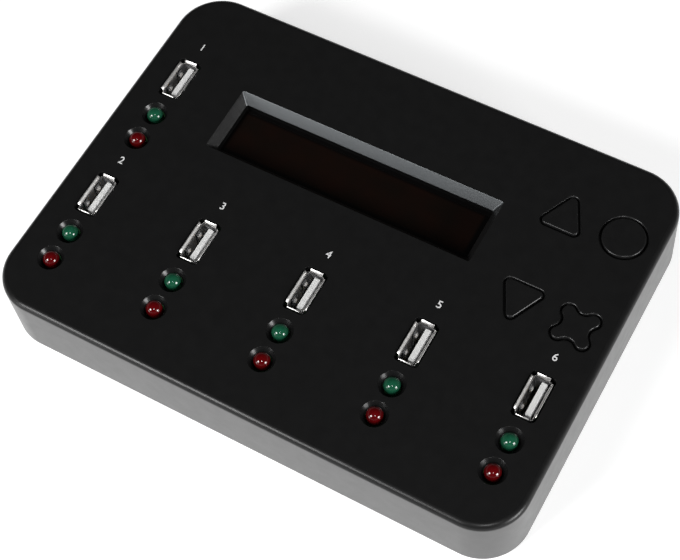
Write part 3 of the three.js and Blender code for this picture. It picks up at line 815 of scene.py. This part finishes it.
def cover_lamps(shape, over, under):
    """The lamps' countersunk holes, in deep shade up to part of the slope."""
    sink_low = face_top - LAMP_SINK_DEPTH
    edge, ease = LAMP_SINK_EDGE, EASE * LAMP_SINK_EDGE
    slope = LAMP_SINK_DEPTH / (LAMP_SINK - LAMP_HOLE)
    shade = (LAMP_SHADE, face_top - (LAMP_SINK - LAMP_SHADE) * slope)
    hole = [
        (LAMP_HOLE, roof_low),
        (LAMP_HOLE, sink_low - edge),
        (LAMP_HOLE + ease, sink_low + ease),
        shade,
    ]
    sink = [
        shade,
        (LAMP_SINK - edge, face_top - edge),
        (LAMP_SINK - ease, face_top - ease),
        (LAMP_SINK + LAMP_SINK_LIP, face_top),
    ]
    # The hole and the lower slope are painted shade, nearly black; the upper slope is a darker,
    # less glossy copy of the case plastic, painted shade too
    for at in lamp_at.values():
        shape.ink = SHADED_INK
        under.append(shape.lathe(hole, at)[0])
        shape.ink = SINK_INK
        over.append(shape.lathe(sink, at)[-1])


def cover_recess(shape, over, under):
    """The display's opening with its walls in painted shade, its bevel, grained and lighter with a
    painted sheen at the rear only, and the collar below.
    """
    slope = BEVEL_WIDTH / BEVEL_DROP
    edge = BEVEL_EDGE
    foot_out, foot_up = BEVEL_FOOT
    foot = (recess_outline(0), face_top - BEVEL_DROP - edge)
    # The opening's walls are painted shade, nearly black
    shape.ink = SHADED_INK
    opening = shape.loft([(recess_outline(0), pane_top), foot])
    shape.ink = CASE_INK
    first = len(shape.faces)
    bevel = shape.loft([
        foot,
        (recess_outline(foot_out * slope * edge), face_top - BEVEL_DROP + foot_up * edge),
        (recess_outline(BEVEL_WIDTH - slope * edge), face_top - edge),
        (recess_outline(BEVEL_WIDTH + EASE * edge), face_top),
    ])
    # The bevel's rear side takes the lighter, glossier copy of the plastic: grain, and painted
    # sheen
    rear = recess_at.y + recess_depth / 2 - RECESS_CORNER
    for i in range(first, len(shape.faces)):
        if all(shape.points[v][1] > rear for v in shape.faces[i]):
            shape.inks[i] = GRAIN_AND_PAINTED_SHEEN_INK
    over.append(bevel[-1])
    outline = recess_outline(BEVEL_WIDTH + COLLAR)
    collar = shape.loft([(outline, roof_low), (outline, pane_top)])
    shape.wall(collar[1], opening[0])
    under.append(collar[0])


def cover_posts(shape, under):
    """Case screw bosses, board posts and pegs for the display module."""
    boss_pilot = SCREW_RADIUS + SCREW_CLEARANCE
    posts = [("case_screw_1", at, base + FLOOR, BOSS_RADIUS, boss_pilot) for at in screw_at]
    posts += [("board_screw_1", at, board_top, POST_RADIUS, POST_PILOT) for at in post_at]
    for screw, at, low, radius, pilot in posts:
        pilot_top = box(screw)[1].z + PILOT_SPARE
        profile = [(radius, roof_low), (radius, low), (pilot, low), (pilot, pilot_top)]
        rings = shape.lathe(profile, at, SLIM_SIDES)
        shape.fill(rings[-1])
        under.append(rings[0])
    peg_low = module_low.z - PEG_REACH
    peg = [
        (PEG_POST_RADIUS, roof_low),
        (PEG_POST_RADIUS, module_high.z),
        (PEG_RADIUS, module_high.z),
        (PEG_RADIUS, peg_low),
        (PEG_RADIUS - PEG_EDGE, peg_low - PEG_EDGE),
    ]
    for sx, sy in ((-1, -1), (1, -1), (1, 1), (-1, 1)):
        x = recess_at.x + sx * ((module_high.x - module_low.x) / 2 - PEG_INSET)
        y = recess_at.y + sy * ((module_high.y - module_low.y) / 2 - PEG_INSET)
        rings = shape.lathe(peg, (x, y), THIN_SIDES)
        shape.fill(rings[-1])
        under.append(rings[0])


def top_cover():
    outline_at = panel(case_width, case_depth, CORNER, CORNER_STEPS)
    across, along = case_width - 2 * WALL, case_depth - 2 * WALL
    inner_outline = rounded(across, along, CORNER - WALL, CORNER_STEPS)
    turned = round_over(outline_at, face_top, EDGE, EDGE_STEPS)
    shape = Shape()
    shape.ink = WALL_INK
    outer = shape.loft([
        (outline_at(-FOOT_LINE * FOOT_LINE_SHARE), base),
        (outline_at(0), base + FOOT_LINE),
        *turned[:WALL_TURNS],
    ])
    # The rounded edge's upper part takes the less glossy copy, which dims its highlight: painted
    # shade
    shape.ink = RIM_INK
    outer += shape.loft(turned[WALL_TURNS - 1:])
    shape.ink = CASE_INK
    inner = shape.loft([(inner_outline, base), (inner_outline, roof_low)])
    shape.wall(outer[0], inner[0])
    over, under = [], []
    cover_inlet(shape, outer, inner)
    cover_holes(shape, over, under)
    cover_lamps(shape, over, under)
    cover_recess(shape, over, under)
    cover_posts(shape, under)
    shape.fill(outer[-1], over)
    shape.fill(inner[1], under)
    inks = [case_plastic, wall_plastic, shaded_plastic, sink_plastic, grain_and_painted_sheen, rim_plastic]
    settle(shape.build("cover_moulding", inks), "top_cover")


# Underside
def floor_plate():
    low, high = box("bottom_cover")
    gap = WALL + FLOOR_GAP
    outline_at = panel(case_width - 2 * gap, case_depth - 2 * gap, CORNER - gap, FLOOR_STEPS)
    shape = Shape()
    rings = shape.loft([
        (outline_at(-FLOOR_EDGE), low.z),
        (outline_at(-EASE * FLOOR_EDGE), low.z + EASE * FLOOR_EDGE),
        (outline_at(0), low.z + FLOOR_EDGE),
        (outline_at(0), high.z),
    ])
    below, above = [], []
    slope = (SCREW_HEAD - SCREW_RADIUS) / SCREW_HEAD_HEIGHT
    hole, sink = SCREW_RADIUS + SCREW_CLEARANCE, SCREW_HEAD + SCREW_CLEARANCE
    edge, edge_height = SCREW_SINK_EDGE
    profile = [
        (sink + edge, low.z),
        (sink - edge * slope, low.z + edge_height),
        (hole, low.z + SCREW_HEAD_HEIGHT),
        (hole, high.z),
    ]
    for at in screw_at:
        bore = shape.lathe(profile, at)
        below.append(bore[0])
        above.append(bore[-1])
    for i in FOUR:
        foot_low, foot_high = box(f"rubber_foot_{i}")
        at = (foot_low + foot_high) / 2
        radius = (foot_high.x - foot_low.x) / 2 + FOOT_CLEARANCE
        profile = [(radius + POCKET_EDGE, low.z), (radius, low.z + POCKET_EDGE)]
        profile.append((radius, low.z + FOOT_SINK))
        pocket = shape.lathe(profile, at)
        shape.fill(pocket[-1])
        below.append(pocket[0])
    shape.fill(rings[0], below)
    shape.fill(rings[-1], above)
    settle(shape.build("floor_moulding", [case_plastic]), "bottom_cover")


def feet():
    """Rubber feet, each with a shallow dish in its sole."""
    for i in FOUR:
        low, high = box(f"rubber_foot_{i}")
        at = (low + high) / 2
        radius = (high.x - low.x) / 2
        floor, rim = FOOT_DISH_SHARES
        profile = [(0.0, low.z + FOOT_DISH), (radius * floor, low.z + FOOT_DISH)]
        profile.append((radius * rim, low.z))
        for a in quarter_turn(FOOT_STEPS):
            rise = FOOT_EDGE * (1 - cos(a))
            profile.append((radius - FOOT_EDGE * (1 - sin(a)), low.z + rise))
        profile += [(radius, high.z), (0.0, high.z)]
        shape = Shape()
        shape.lathe(profile, at)
        piece = shape.build(f"foot_pad_{i}", [rubber])
        settle(piece, f"rubber_foot_{i}")


def screws():
    """Case screws with a cross drive below and a thread above."""
    for i in FOUR:
        low, high = box(f"case_screw_{i}")
        at = (low + high) / 2
        core = SCREW_RADIUS - THREAD_DEPTH
        edge, edge_height = SCREW_HEAD_EDGE
        profile = [
            (SCREW_HEAD - edge, low.z),
            (SCREW_HEAD, low.z + edge_height),
            (SCREW_RADIUS, low.z + SCREW_HEAD_HEIGHT),
        ]
        z = low.z + SCREW_HEAD_HEIGHT + THREAD_FOOT
        while z + THREAD_PITCH < high.z - THREAD_END:
            profile += [(core, z), (SCREW_RADIUS, z + THREAD_CREST), (core, z + THREAD_FOOT)]
            z += THREAD_PITCH
        draw, length = SCREW_TIP
        profile += [(core, high.z - length), (SCREW_RADIUS - draw, high.z)]
        shape = Shape()
        rings = shape.lathe(profile, at, SLIM_SIDES)
        shape.fill(rings[-1])
        drive = shape.loft([(shifted(plus(r, w), at), low.z + h) for r, w, h in DRIVE])
        shape.fill(drive[-1])
        shape.fill(rings[0], [drive[0]])
        piece = shape.build(f"floor_screw_{i}", [screw_steel])
        settle(piece, f"case_screw_{i}")


# Sockets
def shell_columns():
    """Points round the shell, each with its outward direction, its wall and its place there."""
    slot = FINGER_WIDTH / 2 + SLOT_GAP
    finger = [FINGER_WIDTH / 2 * t for t in FINGER_MARKS]
    half_marks = [LIP_LENGTH / 2]
    half_marks += [FINGER_PITCH / 2 + t for t in (-slot, *finger, slot)]
    long_marks = sorted([*half_marks, *(-m for m in half_marks)])
    short_marks = [-LIP_WIDTH / 2, 0.0, LIP_WIDTH / 2]
    columns = []
    for turn in range(4):
        c, s = cos(turn * QUARTER), sin(turn * QUARTER)
        if turn % 2 == 0:
            kind, marks, reach, half = "long", long_marks, SHELL_WIDTH / 2, SHELL_LENGTH / 2
        else:
            kind, marks, reach, half = "short", short_marks, SHELL_LENGTH / 2, SHELL_WIDTH / 2
        for mark in marks:
            spot = (reach * c - mark * s, reach * s + mark * c)
            columns.append((spot, (c, s), kind, mark))
        x, y = reach - SHELL_CORNER, half - SHELL_CORNER
        centre = (x * c - y * s, x * s + y * c)
        for a in quarter_turn(SHELL_STEPS):
            out = (cos(turn * QUARTER + a), sin(turn * QUARTER + a))
            spot = (centre[0] + SHELL_CORNER * out[0], centre[1] + SHELL_CORNER * out[1])
            columns.append((spot, out, "corner", 0.0))
    return columns


def dimple_reach(mark, z, tip):
    """Squared distance from the middle of a finger's round dimple, 1 at its rim."""
    across = (abs(mark) - FINGER_PITCH / 2) / (BUMP_WIDTH / 2)
    along = (z - (tip - BUMP_DROP)) / (BUMP_HEIGHT / 2)
    return across * across + along * along


def finger_push(mark, z, root, tip, bump):
    """How far a sprung finger leans in at this height, with its dimple near its tip."""
    share = (z - root) / (tip - root)
    lean = FINGER_BEND * sin(QUARTER * min(share / BEND_SHARE, 1.0)) ** BEND_POWER
    if share > 1 - TIP_SHARE:
        lean -= TIP_TURN * (share - (1 - TIP_SHARE)) / TIP_SHARE
    return lean + bump * sqrt(max(0.0, 1 - dimple_reach(mark, z, tip)))


def shell_sheet(low, top):
    """Points and faces of the shell's outside: fingers, slots and flared lips."""
    root, tip = top - FINGER_ROOT, top - FINGER_TIP
    slot_top, tube_top = top - SLOT_TOP, top - LIP_RISE
    levels = [low, root, *(root + (tip - root) * t for t in FINGER_ROWS), slot_top, tube_top]
    body_rows = len(levels)
    levels += [tube_top + LIP_RISE * t for t in LIP_ROWS]
    columns = shell_columns()
    finger_in, finger_out = (FINGER_PITCH - FINGER_WIDTH) / 2, (FINGER_PITCH + FINGER_WIDTH) / 2
    slot_in, slot_out = finger_in - SLOT_GAP, finger_out + SLOT_GAP

    def within(mark, first, last):
        return first - NEAR <= abs(mark) <= last + NEAR

    def push(row, out, kind, mark):
        z = levels[row]
        if row >= body_rows:
            return LIP_SPREAD * LIP_ROWS[row - body_rows] ** LIP_BOW
        if kind == "long" and root < z <= tip + NEAR and within(mark, finger_in, finger_out):
            return -finger_push(mark, z, root, tip, FREE_BUMP if out[0] < 0 else FINGER_BUMP)
        return 0.0

    def cut_away(row, first, second):
        """Whether the sheet is open between these two columns, over this row."""
        kind, z = first[2], levels[row + 1]
        same = kind == second[2] and kind != "corner"
        if row >= body_rows - 1:
            return not same
        if not same or kind != "long" or not root + NEAR < z <= slot_top + NEAR:
            return False
        marks = (first[3], second[3])
        one_side = marks[0] * marks[1] > 0
        slot = one_side and all(within(m, slot_in, slot_out) for m in marks)
        finger = all(within(m, finger_in, finger_out) for m in marks) and z <= tip + NEAR
        return slot and not finger

    points, faces = [], []
    for row, z in enumerate(levels):
        for (px, py), out, kind, mark in columns:
            shift = push(row, out, kind, mark)
            points.append((px + shift * out[0], py + shift * out[1], z))
    count = len(columns)
    for row in range(len(levels) - 1):
        for i in range(count):
            j = (i + 1) % count
            if not cut_away(row, columns[i], columns[j]):
                below, above = row * count, (row + 1) * count
                faces.append((below + i, below + j, above + j, above + i))
    return points, faces


def shell_mesh():
    """One shell centred on the origin: a single sheet, thickened inwards, its edges eased."""
    low, high = box("usb_shell_1")
    points, faces = shell_sheet(low.z, high.z)
    mesh = bpy.data.meshes.new("shell_sheet")
    mesh.from_pydata([Vector(p) * MM for p in points], [], faces)
    work = bmesh.new()
    work.from_mesh(mesh)
    bmesh.ops.remove_doubles(work, verts=work.verts, dist=WELD)
    loose = [v for v in work.verts if not v.link_faces]
    bmesh.ops.delete(work, geom=loose, context="VERTS")
    work.to_mesh(mesh)
    work.free()
    sheet = linked("shell_sheet", mesh)
    thick = sheet.modifiers.new("sheet", "SOLIDIFY")
    thick.thickness = SHEET * MM
    thick.offset = -1.0
    thick.use_even_offset = True
    ease = sheet.modifiers.new("ease", "BEVEL")
    ease.width = SHEET_EASE * MM
    ease.segments = 2
    ease.limit_method = "ANGLE"
    ease.angle_limit = radians(SHEET_EASE_ANGLE)
    made = flattened(sheet)
    for item in (steel, painted_shade_steel, painted_highlight_steel):
        made.materials.append(item)
    # The dimples get a painted highlight, a bright copy of the nickel; below the slots' tops the
    # sheet gets painted shade, a dark copy
    for polygon in made.polygons:
        polygon.use_smooth = True
        spot = polygon.center / MM
        if spot.x < 0 and dimple_reach(spot.y, spot.z, high.z - FINGER_TIP) < 1:
            polygon.material_index = PAINTED_HIGHLIGHT_INK
        elif spot.z < high.z - SLOT_TOP:
            polygon.material_index = PAINTED_SHADE_INK
        else:
            polygon.material_index = OUTER_INK
    return made


def sockets():
    shell = shell_mesh()
    for name, at in port_at.items():
        mesh = shell.copy()
        mesh.transform(Matrix.Translation(Vector((at.x, at.y, 0)) * MM))
        piece = linked(f"socket_shell_{name}", mesh)
        settle(piece, f"usb_shell_{name}")
        low, high = box(f"usb_tongue_{name}")
        across, along = high.x - low.x, high.y - low.y
        foot = panel(across, along, TONGUE_BASE_CORNER, TONGUE_STEPS, at)
        x = at.x + TONGUE_OFFSET
        blade = panel(TONGUE_THICK, TONGUE_LENGTH, TONGUE_CORNER, TONGUE_STEPS, (x, at.y))
        tongue = Shape()
        tongue.slab(foot, low.z, low.z + TONGUE_BASE, TONGUE_BASE_EDGE)
        tongue.slab(blade, low.z + TONGUE_BASE / 2, high.z, TONGUE_EDGE)
        piece = tongue.build(f"socket_tongue_{name}", [nylon])
        settle(piece, f"usb_tongue_{name}")
        contacts = Shape()
        x -= TONGUE_THICK / 2
        root, tip = low.z + TONGUE_BASE - CONTACT_ROOT, high.z - CONTACT_DROP
        size = (2 * CONTACT_THICK, CONTACT_WIDTH, CONTACT_CORNER)
        for place in CONTACT_PLACES:
            contacts.slab(panel(*size, CONTACT_STEPS, (x, at.y + place)), root, tip, CONTACT_EDGE)
        settle(contacts.build(f"socket_contacts_{name}", [gold]))


def lamps():
    """A flange, a dome and two legs each."""
    for name, at in lamp_at.items():
        low, high = box(f"lamp_{name}")
        centre = high.z - LAMP_RADIUS
        flange_low = centre - LAMP_BARREL
        flange_top = flange_low + LAMP_FLANGE_HEIGHT
        edge = LAMP_FLANGE_EDGE
        profile = [
            (0.0, flange_low),
            (LAMP_FLANGE - edge, flange_low),
            (LAMP_FLANGE, flange_low + edge),
            (LAMP_FLANGE, flange_top - edge),
            (LAMP_FLANGE - edge, flange_top),
            (LAMP_RADIUS, flange_top),
        ]
        for a in quarter_turn(DOME_STEPS):
            profile.append((LAMP_RADIUS * cos(a), centre + LAMP_RADIUS * sin(a)))
        shape = Shape()
        shape.lathe(profile, at, LAMP_SIDES)
        shape.ink = METAL_INK
        for side in (-1, 1):
            x = at.x + side * LEG_PITCH / 2
            leg = panel(LEG_WIDTH, LEG_WIDTH, LEG_CORNER, LEG_STEPS, (x, at.y))
            shape.slab(leg, low.z, flange_low + LEG_ROOT)
        colour = name.split("_")[0]
        piece = shape.build(f"lens_{name}", [lenses[colour], steel])
        # The resin lets light through to the countersink behind it
        piece.visible_shadow = False
        piece.visible_glossy = False
        settle(piece, f"lamp_{name}")


def caps():
    """Caps, each with a flange under the roof and a stem to its switch."""
    flange_top = roof_low - CAP_FLANGE_DROP
    flange_low = flange_top - CAP_FLANGE_HEIGHT
    for name, outline_at in cap_outlines.items():
        low, high = box(f"button_{name}")
        at = cap_at[name]
        side = round_over(lambda grow: outline_at(grow - CAP_GAP), high.z, CAP_EDGE, CAP_EDGE_STEPS)
        levels = [
            (outline_at(CAP_FLANGE), flange_low),
            (outline_at(CAP_FLANGE), flange_top),
            (outline_at(-CAP_GAP), flange_top),
            *side,
        ]
        shape = Shape()
        rings = shape.loft([(shifted(outline, at), z) for outline, z in levels])
        shape.fill(rings[-1])
        profile = [(STEM_RADIUS, flange_low), (STEM_RADIUS, low.z + STEM_EDGE)]
        profile.append((STEM_RADIUS - STEM_EDGE, low.z))
        stem = shape.lathe(profile, at, SLIM_SIDES)
        shape.fill(stem[-1])
        shape.fill(rings[0], [stem[0]])
        piece = shape.build(f"key_{name}", [cap_plastic])
        settle(piece, f"button_{name}", f"{name}_button")


def power_inlet():
    """Body, nose, bore and pin, built upright, with heights that stand for y, and laid back."""
    front, back, outside = jack_low.y, case_depth / 2 - WALL - JACK_GAP, jack_high.y
    across, along = jack_high.x - jack_low.x, jack_high.z - jack_low.z
    body_at = (jack_at[0], (jack_low.z + jack_high.z) / 2)
    body = panel(across, along, JACK_CORNER, JACK_STEPS, body_at)
    shape = Shape()
    rings = shape.loft([
        (body(-JACK_EDGE), front),
        (body(0), front + JACK_EDGE),
        (body(0), back - JACK_EDGE),
        (body(-JACK_EDGE), back),
    ])
    profile = [(NOSE_RADIUS, back), (NOSE_RADIUS, outside - NOSE_EDGE)]
    profile.append((NOSE_RADIUS - NOSE_EDGE, outside))
    nose = shape.lathe(profile, jack_at)
    bore_back = outside - BORE_DEPTH
    profile = [(BORE_RADIUS + BORE_EDGE, outside), (BORE_RADIUS, outside - BORE_EDGE)]
    profile.append((BORE_RADIUS, bore_back))
    bore = shape.lathe(profile, jack_at)
    shape.wall(nose[-1], bore[0])
    shape.fill(rings[0])
    shape.fill(rings[-1], [nose[0]])
    pin_foot = shape.ring(shifted(circle(PIN_RADIUS, THIN_SIDES), jack_at), bore_back)
    shape.fill(bore[-1], [pin_foot])
    shape.ink = METAL_INK
    pin_end = outside - PIN_RECESS
    profile = [(PIN_RADIUS - draw, pin_end - drop) for draw, drop in PIN_TIP]
    pin = shape.lathe(profile, jack_at, THIN_SIDES)
    shape.wall(pin_foot, pin[0])
    shape.fill(pin[-1])
    shape.points = [(x, y, z) for x, z, y in shape.points]
    piece = shape.build("inlet_block", [matt_black, steel])
    settle(piece, "power_jack")


def numbers():
    """Plain numbers printed on the face behind each socket, sunk into it by a quarter."""
    for name, at in port_at.items():
        curve = bpy.data.curves.new(f"number_{name}", "FONT")
        curve.body = name
        curve.align_x = curve.align_y = "CENTER"
        curve.size = NUMBER_HEIGHT * MM
        curve.offset = NUMBER_BOLD * MM
        curve.extrude = NUMBER_PRINT / 2 * MM
        curve.resolution_u = NUMBER_STEPS
        mesh = flattened(linked(f"text_{name}", curve))
        heights = [v.co.y for v in mesh.vertices]
        widths = [v.co.x for v in mesh.vertices]
        scale = NUMBER_HEIGHT * MM / (max(heights) - min(heights))
        centre = Vector(((max(widths) + min(widths)) / 2, (max(heights) + min(heights)) / 2, 0))
        place = Vector((at.x + NUMBER_SHIFT, at.y + NUMBER_GAP, face_top + NUMBER_PRINT / 4)) * MM
        size = Matrix.Diagonal((scale, scale, 1, 1))
        mesh.transform(Matrix.Translation(place) @ size @ Matrix.Translation(-centre))
        mesh.materials.clear()
        mesh.materials.append(print_white)
        settle(linked(f"number_{name}", mesh))


def dress_nodes():
    """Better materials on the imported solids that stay."""
    dull = ["display_frame", "display_header", "controller_chip", "memory_chip"]
    dull += [f"switch_{part}_{name}" for part in ("body", "plunger") for name in cap_outlines]
    looks = dict.fromkeys(dull, matt_black)
    looks.update(dict.fromkeys([f"board_screw_{i}" for i in FOUR], screw_steel))
    looks["display_window"] = window_material()
    looks["display_board"] = looks["main_board"] = board_material()
    looks["display_glass"] = glass_dark
    looks["supply_capacitor"] = can_sleeve
    for name, material in looks.items():
        for slot in frame["nodes"][name].material_slots:
            slot.material = material


# Stage, light and camera
def stage():
    """A paper floor, lifted to white where the camera sees it, also in reflections."""
    floor = Shape()
    floor.fill(floor.ring(circle(FLOOR_RADIUS, FLOOR_SIDES), 0.0))
    floor.build("floor", [floor_paper], weighted=False)
    tree, shader = shader_of(floor_paper)
    path = node(tree, "ShaderNodeLightPath")
    seen = path.outputs["Is Camera Ray"]
    for kind in ("Is Glossy Ray", "Is Transmission Ray"):
        seen = combine(tree, "MAXIMUM", seen, path.outputs[kind])
    lift = combine(tree, "MULTIPLY", seen, FLOOR_LIFT)
    shader.inputs["Emission Color"].default_value = (1, 1, 1, 1)
    tree.links.new(lift, shader.inputs["Emission Strength"])


def softbox(name, direction, distance, across, along, radiance):
    """A rectangular soft lamp facing the object from this direction."""
    data = bpy.data.lights.new(name, "AREA")
    data.shape = "RECTANGLE"
    data.size, data.size_y = across, along
    data.energy = radiance * pi * across * along
    lamp = linked(name, data)
    out = Vector(direction).normalized()
    lamp.location = out * distance
    lamp.rotation_mode = "QUATERNION"
    lamp.rotation_quaternion = out.to_track_quat("Z", "Y")


def world():
    """Pale round the horizon and dark overhead, as under an open ceiling."""
    made = bpy.data.worlds.new("studio")
    bpy.context.scene.world = made
    made.use_nodes = True
    tree = made.node_tree
    background = tree.nodes["Background"]
    coords = node(tree, "ShaderNodeTexCoord")
    split = node(tree, "ShaderNodeSeparateXYZ")
    tree.links.new(coords.outputs["Generated"], split.inputs[0])
    ramp = node(tree, "ShaderNodeValToRGB")
    tree.links.new(split.outputs[2], ramp.inputs[0])
    stops = ramp.color_ramp.elements
    for position, _ in WORLD_STOPS[1:-1]:
        stops.new(position)
    for stop, (position, level) in zip(stops, WORLD_STOPS):
        stop.position = position
        stop.color = (level, level, level, 1)
    tree.links.new(ramp.outputs[0], background.inputs["Color"])
    background.inputs["Strength"].default_value = 1.0


def camera():
    data = bpy.data.cameras.new("camera")
    data.sensor_width = 36.0
    data.lens = EYE_LENS
    data.shift_x, data.shift_y = EYE_SHIFT
    data.clip_start, data.clip_end = EYE_CLIP
    eye = linked("camera", data)
    eye.location = Vector(EYE) * MM
    eye.rotation_euler = Euler([radians(a) for a in EYE_TURN], "XYZ")
    bpy.context.scene.camera = eye


top_cover()
floor_plate()
feet()
screws()
sockets()
lamps()
caps()
power_inlet()
numbers()
dress_nodes()
stage()
world()
camera()
for values in SOFTBOXES:
    softbox(*values)
bpy.context.scene.view_settings.view_transform = "Standard"
